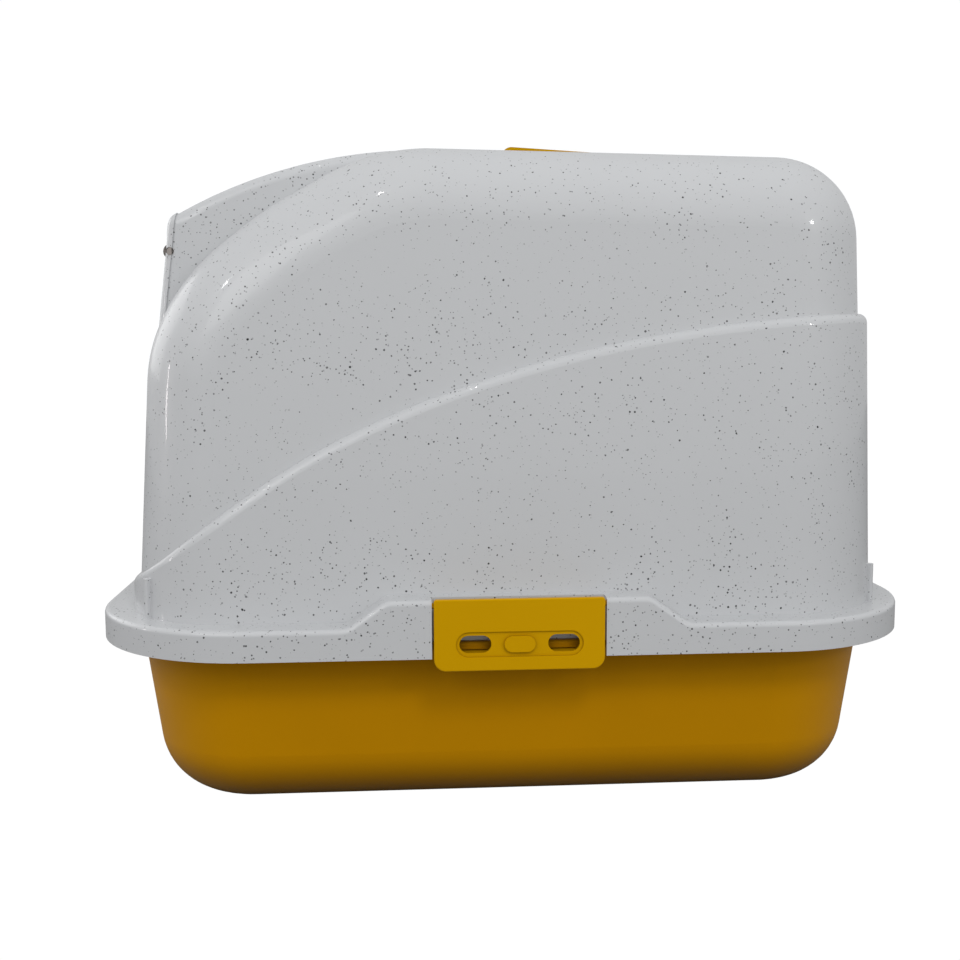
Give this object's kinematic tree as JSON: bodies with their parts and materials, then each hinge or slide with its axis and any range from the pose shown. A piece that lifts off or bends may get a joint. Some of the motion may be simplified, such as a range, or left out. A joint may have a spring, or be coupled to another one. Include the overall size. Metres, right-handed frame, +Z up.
{
  "type": "covered litter box",
  "caption": "Covered pet litter box: open pan, hood standing on its rim, swinging see-through entry door, side clips, folding roof handle, vented roof with a carbon filter.",
  "frame": {"origin": "on the floor, under the middle of the box", "axes": "+Z up, the entry faces -Y and the length runs along Y, X across"},
  "size_m": [0.4492, 0.58, 0.4695],
  "materials": {
    "pan_plastic": "moulded, semi-gloss",
    "hood_plastic": "moulded, semi-gloss, finely speckled",
    "door_clear": "clear, smoke tinted",
    "clip_plastic": "moulded, semi-gloss",
    "holder_plastic": "moulded, semi-gloss",
    "filter_pad": "carbon felt"
  },
  "bodies": {
    "box": {"litter_pan": "pan_plastic", "hood_shell": "hood_plastic"},
    "door": {"entry_door": "door_clear"},
    "right_clip": {"clip_right": "clip_plastic"},
    "left_clip": {"clip_left": "clip_plastic"},
    "handle": {"carry_handle": "clip_plastic"},
    "filter": {"filter_holder": "holder_plastic", "carbon_filter": "filter_pad"}
  },
  "joints": [
    {"name": "door_swing", "type": "hinge", "parent": "box", "child": "door", "pos_m": [0, -0.235, 0.3864], "axis": [1, 0, 0], "range_deg": [-75, 75]},
    {"name": "right_clip_swing", "type": "hinge", "parent": "box", "child": "right_clip", "pos_m": [0.2196, 0, 0.1514], "axis": [0, -1, 0], "range_deg": [0, 110]},
    {"name": "left_clip_swing", "type": "hinge", "parent": "box", "child": "left_clip", "pos_m": [-0.2196, 0, 0.1514], "axis": [0, 1, 0], "range_deg": [0, 110]},
    {"name": "handle_fold", "type": "hinge", "parent": "box", "child": "handle", "pos_m": [0, 0.01, 0.4615], "axis": [1, 0, 0], "range_deg": [0, 90]},
    {"name": "filter_holder_slide", "type": "slide", "parent": "box", "child": "filter", "axis": [1, 0, 0], "range_m": [0, 0.09]}
  ]
}
